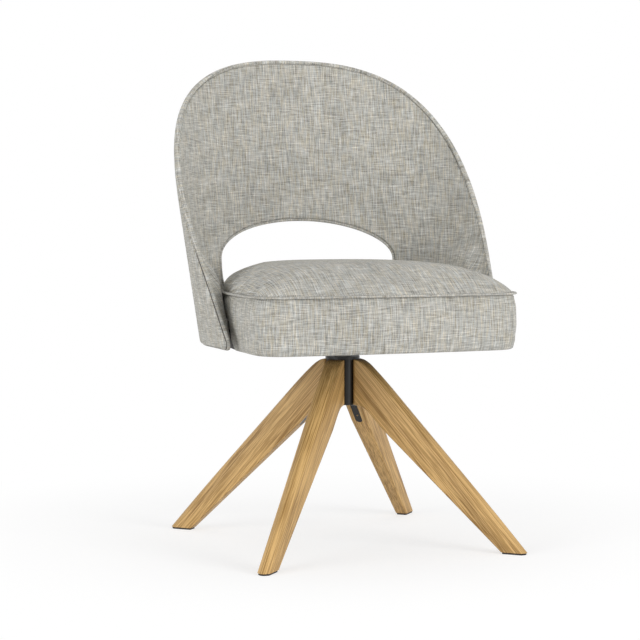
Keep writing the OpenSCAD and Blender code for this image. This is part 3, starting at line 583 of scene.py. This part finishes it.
def face_ring(row_place, distance, padded=False):
    """A ring of the back at a share of the way, or a distance from an edge, and off the inside."""
    ring, places = [], []
    for k in range(COUNT):
        share = row_place(k)
        turn = mix(window[k][0], edge[k][0], share)
        z = mix(window[k][1], edge[k][1], share)
        near = min(share, 1 - share) * spokes[k].length
        off = distance(thinness(near)) - (wing_pad(turn, z) if padded else 0)
        ring.append(back_at(turn, z) + off * back_normal(turn, z))
        places.append((turn, z))
    return ring, places


# Padding inside each wing: it fills the room beside the seat up to a gap. It comes in behind the
# wing's rim, above its foot and past a turn, and fades above the seam.
WING_PAD_T, WING_GAP = 28.0, 5.5
WING_PAD_RUN, WING_PAD_FOOT = (8.0, 40.0), (4.0, 12.0)
WING_PAD_TURNS, WING_PAD_FADE = (50.0, 85.0), (5.0, 115.0)
HEIGHT_STEPS = 24
seat_rings = [seat_ring(-WING_GAP, DRAW * (1 - i / HEIGHT_STEPS)) for i in range(HEIGHT_STEPS + 1)]


def wing_pad(turn, z):
    here = back_at(turn, z)
    near = (eased(here[1] - cut_y(z), *WING_PAD_RUN) * eased(z - BACK_LOW, *WING_PAD_FOOT)
            * (1 - eased(z - SEAM_Z, *WING_PAD_FADE)) * eased(abs(turn), *WING_PAD_TURNS))
    if near <= 0:
        return 0.0
    level = min(HEIGHT_STEPS, max(0, round(HEIGHT_STEPS * (z - SEAT_BOTTOM) / BOXING)))
    inwards = -back_normal(turn, z)
    room = to_ring(Vector(here[:2]), Vector(inwards[:2]), seat_rings[level])
    return near * min(WING_PAD_T, room)


def plan_length(turn, z, steps=12):
    """Length along the back from its middle to a turn, at a height."""
    total, last = 0.0, back_at(0, z)
    for i in range(1, steps + 1):
        here = back_at(turn * i / steps, z)
        total += (here - last).length
        last = here
    return math.copysign(total, turn)


# Distances from the back's rims to the seams of their strips. At a wing the seam is on the corner
# of the rim, and it comes onto the face between two heights. Then how the cloth dips beside a
# seam, as [distance, depth], and how deep its hidden side is.
SEAM_AT_TOP, SEAM_AT_WING, SEAM_AT_WINDOW = 5.0, 0.8, 3.0
SEAM_RISE = (430.0, 640.0)
edge_seams = [mix(SEAM_AT_WING, SEAM_AT_TOP, eased(z, *SEAM_RISE)) for turn, z in edge]
window_seams = [SEAM_AT_WINDOW] * COUNT
DIP = [(0, 2.6), (0.55, 1.7), (1.2, 0.8), (2.1, 0.25), (3.6, 0)]
HIDDEN, MIDDLE_ROWS = 3.0, 18


def face_rows():
    """Rows from the seam at the opening to the seam at the edge, as shares and dips."""
    rows = []
    for run, dip in DIP:
        rows.append((lambda k, d=SEAM_AT_WINDOW + run: share_at(k, from_window=d), dip))
    for i in range(MIDDLE_ROWS + 1):
        def middle(k, s=i / MIDDLE_ROWS):
            first = share_at(k, from_window=SEAM_AT_WINDOW + 4.5)
            last = share_at(k, from_edge=edge_seams[k] + 4.5)
            return mix(first, last, s)
        rows.append((middle, 0))
    for run, dip in reversed(DIP):
        rows.append((lambda k, run=run: share_at(k, from_edge=edge_seams[k] + run), dip))
    return rows


def back_face(name, inside):
    """Cloth on one side of the back, tucked into its seams and closed on its hidden side."""
    shown, hidden = [], []
    for place, dip in face_rows():
        if inside:
            shown.append(face_ring(place, lambda thin, dip=dip: dip, padded=True))
            hidden.append(face_ring(place, lambda thin: HIDDEN))
        else:
            shown.append(face_ring(place, lambda thin, dip=dip: FULL_T * thin - dip))
            hidden.append(face_ring(place, lambda thin: FULL_T * thin - HIDDEN))
    stack = shown + hidden[::-3]
    rings = [ring for ring, places in stack]
    uv = []
    for ring, places in stack + stack[:1]:
        line = [(plan_length(turn, z), z) for turn, z in places]
        uv.append(line + line[:1])
    points, faces, corners = loft(rings, uv, looped=True)
    made = make(name, "seat", "fabric", fabric, points, faces, corners)
    return facing_out(made, not inside)


# Half of a strip's section from its seam to its crown, as [outwards, depth]: with its seam on the
# corner of the rim, and with its seam on the face. Then the turn that its crown starts at for
# each, and the depth of the strip's hidden side at its seams.
CORNER_HALF = [(-0.8, 2.6), (0.0, 2.35), (0.6, 2.1), (1.0, 1.85), (1.25, 1.7)]
FACE_HALF = [(-5.0, 2.6), (-4.5, 1.5), (-3.8, 0.45), (-2.0, -0.25), (-0.9, -0.1)]
CROWN_TURNS = (38, 68)
STRIP_DEPTH = 3.2


def strip_section(seam, bulge):
    share = (seam - SEAM_AT_WING) / (SEAM_AT_TOP - SEAM_AT_WING)
    t = FULL_T * thinness(0)
    mid = t / 2
    half = [(mix(a[0], b[0], share), mix(a[1], b[1], share)) for a, b in zip(CORNER_HALF, FACE_HALF)]
    turn = mix(*CROWN_TURNS, share)
    crown = []
    for i in range(9):
        a = math.radians(turn * (i / 4 - 1))
        crown.append((bulge * (1.35 * math.cos(a) - 0.35), mid + (mid + 0.2) * math.sin(a)))
    far = [(e, FULL_T * thinness(max(0, -e)) - d) for e, d in reversed(half)]
    hidden = mix(3.0, 1.0, share)
    closed = [(-seam, FULL_T * thinness(seam) - STRIP_DEPTH), (0, t - hidden), (0.4 * bulge, mid),
              (0, hidden), (-seam, STRIP_DEPTH)]
    return half + crown + far + closed


def strip(name, faces, normals, outs, seams, bulge):
    """Strip of cloth sewn round an edge of the back, from one seam over the rim to the other."""
    sections = [strip_section(seam, bulge) for seam in seams]
    points = len(sections[0])
    run = lengths(faces)
    across = [0.0]
    for i in range(points):
        across.append(across[-1] + math.dist(sections[0][i], sections[0][(i + 1) % points]))
    rings = [[faces[k] + sections[k][i][0] * outs[k] + sections[k][i][1] * normals[k]
              for k in range(COUNT)] for i in range(points)]
    uv = [[(run[k], across[i]) for k in range(COUNT + 1)] for i in range(points + 1)]
    return make(name, "seat", "fabric", fabric, *loft(rings, uv, looped=True))


inside_cloth = back_face("back_inside_cloth", True)
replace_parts(inside_cloth, "back_inner_pad")
outside_cloth = back_face("back_outside_cloth", False)
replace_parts(outside_cloth, "back_outer_cover")
edge_strip = strip("back_edge_strip", edge_faces, edge_normals, edge_outs, edge_seams, 2.0)
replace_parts(facing_out(edge_strip, True), "back_edge_band")
window_strip = strip("opening_edge_strip", window_faces, window_normals, window_outs, window_seams, 1.5)
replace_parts(window_strip, "window_band")

# Seat


def raised(ring, z):
    """A ring of the side at a height, higher where the back hides it."""
    share = (z - SEAT_BOTTOM) / BOXING
    return [(p[0], p[1], mix(SEAT_BOTTOM + LIFT * eased(p[1], *LIFT_RUN), SEAM_Z, share)) for p in ring]


def seat_side():
    """Boxed side of the seat with its padding, turned under at the bottom and open to its frame."""
    shares = [0.012, 0, 0.004, 0.02, 0.04, 0.065, 0.1, 0.15, 0.24, 0.34, 0.45, 0.55, 0.65, 0.75, 0.84,
              0.9, 0.94, 0.965, 0.985]
    # Known shares of the height, and how far in the side is there as a share of its padding
    known = [(0.012, 1), (0, 0.8), (0.004, 0.6), (0.02, 0.3), (0.065, 0.08), (0.15, -0.15),
             (0.45, -0.45), (0.75, -0.35), (0.93, 0.1), (0.985, 0.4)]
    rings = []
    for i, share in enumerate(shares):
        if i < 3:
            inset = known[i][1]
        else:
            j = next(m for m in range(3, len(known)) if known[m][0] >= share)
            low, high = known[j - 1], known[j]
            inset = mix(low[1], high[1], eased(share, low[0], high[0]) if high[0] > low[0] else 0)
        rings.append(raised(seat_ring(WRAP * inset, DRAW * (1 - share)), SEAT_BOTTOM + BOXING * share))
    top = [(p[0], p[1], SEAM_Z) for p in seat_ring(0.8 * WRAP)]
    inner = [(p[0], p[1], RAIL_TOP + 0.4) for p in seat_ring(WRAP, DRAW)]
    rings = rings + [top, inner]
    across = [0.0]
    for i in range(len(rings)):
        a, b = Vector(rings[i][SEATS // 2]), Vector(rings[(i + 1) % len(rings)][SEATS // 2])
        across.append(across[-1] + (a - b).length)
    uv = [[(seat_run[k], across[i]) for k in range(SEATS + 1)] for i in range(len(rings) + 1)]
    points, faces, corners = loft(rings, uv, looped=True)
    return make("seat_side_cloth", "seat", "fabric", fabric, points, faces, corners)


GRID = 88


def pad_directions():
    """Rim of the seat's top by direction from the middle of its crown."""
    rim = [Vector(p) for p in seat_ring(0.4 * WRAP)]
    rim = [Vector((p[0], p[1] + CROWN_MIDDLE)) for p in rim]
    return sorted((math.atan2(p[1], p[0]), p) for p in rim)


rim_by_angle = pad_directions()


def rim_at(angle):
    """Rim point in a direction, between the two nearest of its points."""
    low, high = 0, len(rim_by_angle)
    while low < high:
        middle = (low + high) // 2
        if rim_by_angle[middle][0] < angle:
            low = middle + 1
        else:
            high = middle
    a, b = rim_by_angle[low - 1][1], rim_by_angle[low % len(rim_by_angle)][1]
    direction = Vector((math.cos(angle), math.sin(angle)))
    run = b - a
    span = direction[0] * run[1] - direction[1] * run[0]
    reach = (a[0] * run[1] - a[1] * run[0]) / span
    return direction * reach


def seat_top(cushion_h):
    """Crowned pad of even squares under the seat's top cloth, closed by its flat underside."""
    tops, lows = [], []
    for j in range(GRID + 1):
        for i in range(GRID + 1):
            a, b = 2 * i / GRID - 1, 2 * j / GRID - 1
            share = max(abs(a), abs(b))
            angle = math.atan2(b * (SEAT_REAR + SEAT_FRONT), a * SEAT_W)
            rim = rim_at(angle) if share else Vector((1, 0))
            share = mix(share, math.sin(math.radians(90 * share)), 0.5)
            x, y = rim * share
            behind = max(0, rim[1] - CROWN_MIDDLE + SEAT_FRONT) / (SEAT_REAR + SEAT_FRONT)
            soft = mix(SOFT_FRONT, SOFT_REAR, math.sqrt(behind))
            rise = max(0, 1 - share ** FLATNESS) ** soft
            tops.append((x, y - CROWN_MIDDLE, SEAM_Z + 1 + (cushion_h - 1) * rise))
            lows.append((x * 0.97, (y * 0.97) - CROWN_MIDDLE, SEAM_Z - 3))
    n, total = GRID + 1, (GRID + 1) ** 2
    faces = []
    for j in range(GRID):
        for i in range(GRID):
            a = j * n + i
            faces.append((a, a + 1, a + n + 1, a + n))
            faces.append(tuple(total + c for c in (a, a + n, a + n + 1, a + 1)))
    rim = ([i for i in range(n)] + [j * n + GRID for j in range(1, n)]
           + [GRID * n + i for i in range(GRID - 1, -1, -1)] + [j * n for j in range(GRID - 1, 0, -1)])
    for k in range(len(rim)):
        a, b = rim[k], rim[(k + 1) % len(rim)]
        faces.append((b, a, total + a, total + b))
    points = tops + lows
    uv = [[(points[c][0], points[c][1]) for c in face] for face in faces]
    made = make("seat_top_pad", "seat", "fabric", fabric, points, faces, uv)
    return made, set(rim), total


def blow_up(obj, held, pressure, cap, slack):
    """Swells a pad as its filling does, by cloth simulation, and keeps each point near its start."""
    start = [v.co.copy() for v in obj.data.vertices]
    group = obj.vertex_groups.new(name="held")
    group.add(held, 1.0, "REPLACE")
    cloth = obj.modifiers.new("settle", "CLOTH")
    rules = cloth.settings
    rules.quality = 6
    rules.mass = 0.25
    rules.tension_stiffness = rules.compression_stiffness = 18
    rules.shear_stiffness = 6
    rules.bending_stiffness = 0.8
    rules.vertex_group_mass = "held"
    rules.use_pressure = True
    rules.uniform_pressure_force = pressure
    rules.shrink_min = -slack
    rules.effector_weights.gravity = 0
    cloth.collision_settings.use_collision = False
    for number in range(1, 21):
        bpy.context.scene.frame_set(number)
    settled = obj.evaluated_get(bpy.context.evaluated_depsgraph_get())
    ends = [v.co.copy() for v in settled.data.vertices]
    obj.modifiers.remove(cloth)
    bpy.context.scene.frame_set(1)
    for vertex, old, new in zip(obj.data.vertices, start, ends):
        move = new - old
        if move.length > cap * MM:
            move *= cap * MM / move.length
        vertex.co = old + move
    obj.vertex_groups.remove(group)
    obj.data.update()


top_pad, top_rim, top_total = seat_top(CROWN)
held = sorted(top_rim) + list(range(top_total, 2 * top_total))
blow_up(top_pad, held, pressure=1.2, cap=3.0, slack=0.004)
seat_side()
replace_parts(top_pad, "seat_cushion")


def seat_welt():
    """Sewn lip between the top and the side: two layers turned out and pressed together."""
    section = [(3.0, -0.55), (0.5, -0.5), (-1.6, -0.5), (-3.0, -0.42), (-3.8, -0.25), (-4.0, -0.05),
               (-3.7, 0.18), (-2.8, 0.36), (-1.4, 0.42), (0.4, 0.42), (3.0, 0.5)]
    rings = [[(p[0], p[1], SEAM_Z + LIP_T * s) for p in seat_ring(e)] for e, s in section]
    across = [0.0]
    for i in range(len(section)):
        a, b = section[i], section[(i + 1) % len(section)]
        across.append(across[-1] + math.dist((a[0], a[1] * LIP_T), (b[0], b[1] * LIP_T)))
    uv = [[(seat_run[k], across[i]) for k in range(SEATS + 1)] for i in range(len(section) + 1)]
    points, faces, corners = loft(rings, uv, looped=True)
    return make("seat_welt", "seat", "fabric", fabric, points, faces, corners)


welt = facing_out(seat_welt(), False)
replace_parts(welt, "seat_lip")
row("seat_welt_stitches", "seat", thread,
    [(p[0], p[1], SEAM_Z + 0.42 * LIP_T + 0.1) for p in seat_ring(-1.6)],
    pitch=4.0, length=2.8, thickness=0.6)
row("dust_cloth_staples", "seat", zinc,
    [(p[0], p[1], SEAT_BOTTOM + 0.1) for p in seat_ring(WRAP + 9, DRAW)],
    pitch=32, length=11, thickness=1.2)

# Legs

HUB_FLAT, HUB_BOTTOM, DISC_UNDER = 23.5, 239.0, 317.0
BEND_TOP_W, BEND_TOP_DROP, BEND_LOW_W, BEND_LOW_DROP = 65.5, 52.7, 53.5, 38.0
LEG_W, FOOT_W, LEG_CROWN, FOOT_CROWN, GLIDE_T = 30.0, 22.0, 5.0, 6.5, 3.0
FOOT_IN, FOOT_OUT = 289.5, 326.0
ROW_STEPS, STRAIGHT_STEPS, SHARP_ANGLE, TAB_CLEARANCE = 6, 30, 38, 2.5
# The bend, from the hub to the straight run: shares of the top's run and drop and of the
# underside's run and drop, then of the width and of the crown
BEND = [
    (0.00, 0.000, 0.000, 0.00, 0.56, 0.00),
    (0.02, 0.001, 0.024, 0.00, 0.80, 0.00),
    (0.08, 0.006, 0.090, 0.01, 1.00, 0.00),
    (0.20, 0.050, 0.200, 0.03, 1.00, 0.15),
    (0.36, 0.180, 0.330, 0.09, 1.00, 0.45),
    (0.53, 0.385, 0.480, 0.22, 1.00, 0.75),
    (0.74, 0.660, 0.680, 0.50, 1.00, 1.00),
    (1.00, 1.000, 1.000, 1.00, 1.00, 1.00)]


def smooth_row(place):
    """A row of BEND between two of its rows, on a smooth curve through them."""
    i = min(len(BEND) - 2, int(place))
    t = place - i
    before, a, b, after = (BEND[max(0, i - 1)], BEND[i], BEND[i + 1], BEND[min(len(BEND) - 1, i + 2)])
    return [0.5 * (2 * q + (r - p) * t + (2 * p - 5 * q + 4 * r - s) * t * t
                   + (3 * q - p - 3 * r + s) * t ** 3) for p, q, r, s in zip(before, a, b, after)]


def leg_sections():
    """Underside and top of each section as [out, up], with its width and crown."""
    out = []
    for i in range(ROW_STEPS * (len(BEND) - 1) + 1):
        s = smooth_row(i / ROW_STEPS)
        out.append(((HUB_FLAT + BEND_LOW_W * s[2], HUB_BOTTOM - BEND_LOW_DROP * s[3]),
                    (HUB_FLAT + BEND_TOP_W * s[0], DISC_UNDER - BEND_TOP_DROP * s[1]),
                    LEG_W * min(1, s[4]), LEG_CROWN * min(1, max(0, s[5]))))
    low, top = out[-1][0], out[-1][1]
    for i in range(1, STRAIGHT_STEPS + 1):
        t = i / STRAIGHT_STEPS
        out.append(((mix(low[0], FOOT_IN, t), mix(low[1], GLIDE_T, t)),
                    (mix(top[0], FOOT_OUT, t), mix(top[1], GLIDE_T, t)),
                    mix(LEG_W, FOOT_W, t), mix(LEG_CROWN, FOOT_CROWN, t)))
    return out


def section_points(height, width, crown, soft=2.5, steps=4):
    """Outline of a leg's section: eased edges below, a rounded face above."""
    w = width / 2
    half = [(0, 0), ((w - soft) * 0.5, 0)]
    for i in range(steps + 1):
        a = math.radians(-90 + 90 * i / steps)
        half.append((w - soft + soft * math.cos(a), soft + soft * math.sin(a)))
    half.append((w, height * 0.5))
    for i in range(steps + 1):
        a = math.radians(70 * i / steps)
        half.append((w - soft + soft * math.cos(a), height - soft * 0.8 + soft * math.sin(a)))
    edge_x, edge_y = half[-1]
    for i in range(1, 7):
        x = edge_x * (1 - i / 6)
        half.append((x, edge_y + (height + crown - edge_y) * (1 - (x / edge_x) ** 2)))
    return half + [(-x, y) for x, y in half[-2:0:-1]]


def tab_cutter(name, node, moved):
    """Copy of the steel tabs or their screws, moved square to the tabs, that cuts their recess."""
    form = bmesh.new()
    form.from_mesh(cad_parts[node].data)
    bmesh.ops.remove_doubles(form, verts=form.verts, dist=1e-6)
    slope = math.radians(GRAIN_SLOPE)
    for vertex in form.verts:
        turn = math.degrees(math.atan2(vertex.co.y, vertex.co.x))
        quarter = math.radians(45 + 90 * math.floor(turn / 90))
        inwards = Vector((math.cos(quarter) * math.sin(slope), math.sin(quarter) * math.sin(slope),
                          math.cos(slope)))
        vertex.co -= inwards * moved * MM
    mesh = bpy.data.meshes.new(name)
    form.to_mesh(mesh)
    form.free()
    made = bpy.data.objects.new(name, mesh)
    bpy.context.scene.collection.objects.link(made)
    return made


def leg(name, turn, cutters):
    a = math.radians(turn)
    rings = []
    for low, top, width, crown in leg_sections():
        low, top = Vector(low), Vector(top)
        height = (top - low).length
        up = (top - low) / height
        ring = []
        for side, rise in section_points(height, width, crown):
            p = low + up * rise
            ring.append((p[0] * math.cos(a) - side * math.sin(a),
                         p[0] * math.sin(a) + side * math.cos(a), p[1]))
        rings.append(ring)
    n = len(rings[0])
    places = [[(0, 0)] * (n + 1)] * (len(rings) + 1)
    points, faces = loft(rings, places, looped=False)[:2]
    faces.append(tuple(range(n - 1, -1, -1)))
    faces.append(tuple((len(rings) - 1) * n + k for k in range(n)))
    made = make(name + "_oak", "base", "oak", oiled_oak(name + "_oiled_oak", turn), points, faces)
    for cutter in cutters:
        cut = made.modifiers.new("recess", "BOOLEAN")
        cut.operation, cut.solver, cut.object = "DIFFERENCE", "EXACT", cutter
    settled = made.evaluated_get(bpy.context.evaluated_depsgraph_get())
    mesh = bpy.data.meshes.new_from_object(settled)
    made.modifiers.clear()
    made.data = mesh
    mesh.polygons.foreach_set("use_smooth", [True] * len(mesh.polygons))
    mesh.set_sharp_from_angle(angle=math.radians(SHARP_ANGLE))
    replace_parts(made, name)
    return made


tab_cutters = [tab_cutter("%s_recess_%g" % (node, moved), node, moved)
               for node in ("leg_tabs", "tab_screws") for moved in (0.0, TAB_CLEARANCE)]
for name, turn in [("leg_front_left", 225), ("leg_front_right", 315), ("leg_rear_right", 45),
                   ("leg_rear_left", 135)]:
    leg(name, turn, tab_cutters)
for cutter in tab_cutters:
    bpy.data.objects.remove(cutter)

# Finishes of the rigid parts

FINISHES = {
    powder_coat: ["hub", "leg_tabs", "swivel_plate", "spindle"],
    black_steel: ["tab_screws", "plate_bolts"],
    zinc: ["leg_dowels", "glide_screws", "plate_nuts", "spindle_washer", "spindle_screw", "rail_screws",
           "back_bolts", "back_nuts"],
    black_plastic: ["hub_cap", "back_spacers", "glide_front_left", "glide_front_right",
                    "glide_rear_right", "glide_rear_left"],
    acetal: ["bush_upper", "bush_lower", "thrust_ring"],
    foam: ["seat_foam"],
    # The shell's dark colour is painted shade for the seam lines.
    shell_birch_painted_seam_shade: ["back_shell"],
    beech: ["seat_rail", "seat_board"],
    dust: ["dust_cover"],
}
for finish, names in FINISHES.items():
    for name in names:
        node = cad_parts[name]
        if not node.material_slots:
            node.data.materials.append(finish)
        for slot in node.material_slots:
            slot.material = finish

# Floor and light. The floor's shadow fades to white between two distances from the middle, in metres.

SHADOW_REACH = (0.3, 0.95)


def floor_finish():
    """Pale floor that looks white to the camera and in reflections, and keeps the chair's shadow."""
    made = bpy.data.materials.new("pale_floor")
    made.use_nodes = True
    tree = made.node_tree
    tree.nodes.clear()
    plain = add(tree, "ShaderNodeBsdfDiffuse", {"Color": linear("#eeeeee")}).outputs[0]
    soft = add(tree, "ShaderNodeBsdfDiffuse", {"Color": linear("#a8a8a8")}).outputs[0]
    glow = add(tree, "ShaderNodeEmission", {"Color": (1, 1, 1, 1), "Strength": 0.65}).outputs[0]
    near = add(tree, "ShaderNodeAddShader", {0: soft, 1: glow}).outputs[0]
    white = add(tree, "ShaderNodeEmission", {"Color": (1, 1, 1, 1), "Strength": 1.0}).outputs[0]
    place = add(tree, "ShaderNodeTexCoord").outputs["Object"]
    reach = add(tree, "ShaderNodeVectorMath", {0: place}, operation="LENGTH").outputs["Value"]
    far = add(tree, "ShaderNodeMapRange", {0: reach, 1: SHADOW_REACH[0], 2: SHADOW_REACH[1]},
              interpolation_type="SMOOTHSTEP").outputs[0]
    seen = add(tree, "ShaderNodeMixShader", {0: far, 1: near, 2: white}).outputs[0]
    path = add(tree, "ShaderNodeLightPath").outputs
    rays = maths(tree, "MAXIMUM", path["Is Camera Ray"],
                 maths(tree, "MAXIMUM", path["Is Glossy Ray"], path["Is Transmission Ray"]))
    both = add(tree, "ShaderNodeMixShader", {0: rays, 1: plain, 2: seen}).outputs[0]
    add(tree, "ShaderNodeOutputMaterial", {"Surface": both})
    return made


floor_mesh = bpy.data.meshes.new("floor")
floor_mesh.from_pydata([(-30, -30, 0), (30, -30, 0), (30, 30, 0), (-30, 30, 0)], [], [(0, 1, 2, 3)])
floor_mesh.materials.append(floor_finish())
floor = bpy.data.objects.new("floor", floor_mesh)
bpy.context.scene.collection.objects.link(floor)

world = bpy.data.worlds.new("studio")
bpy.context.scene.world = world
world.use_nodes = True
sky = world.node_tree
sky.nodes.clear()
light_path = add(sky, "ShaderNodeLightPath").outputs
seen_rays = maths(sky, "MAXIMUM", light_path["Is Camera Ray"],
                  maths(sky, "MAXIMUM", light_path["Is Glossy Ray"], light_path["Is Transmission Ray"]))
ambient = add(sky, "ShaderNodeBackground", {"Color": (1, 1, 1, 1), "Strength": 0.5}).outputs[0]
white_wall = add(sky, "ShaderNodeBackground", {"Color": (1, 1, 1, 1), "Strength": 1.0}).outputs[0]
both_skies = add(sky, "ShaderNodeMixShader", {0: seen_rays, 1: ambient, 2: white_wall}).outputs[0]
add(sky, "ShaderNodeOutputWorld", {0: both_skies})


def softbox(name, place, size, power):
    data = bpy.data.lights.new(name, "AREA")
    data.shape = "RECTANGLE"
    data.size, data.size_y = size
    data.energy = power
    made = bpy.data.objects.new(name, data)
    made.location = place
    made.rotation_mode = "QUATERNION"
    made.rotation_quaternion = (Vector((0, 0, 0.45)) - Vector(place)).to_track_quat("-Z", "Y")
    bpy.context.scene.collection.objects.link(made)


softbox("key_softbox", (1.9, -3.2, 1.3), (1.8, 1.8), power=80)
softbox("fill_softbox", (-3.4, -1.0, 1.1), (2.2, 2.2), power=60)
softbox("top_softbox", (0.2, 0.4, 3.2), (2.4, 2.4), power=12)

bpy.context.scene.view_settings.view_transform = "Standard"
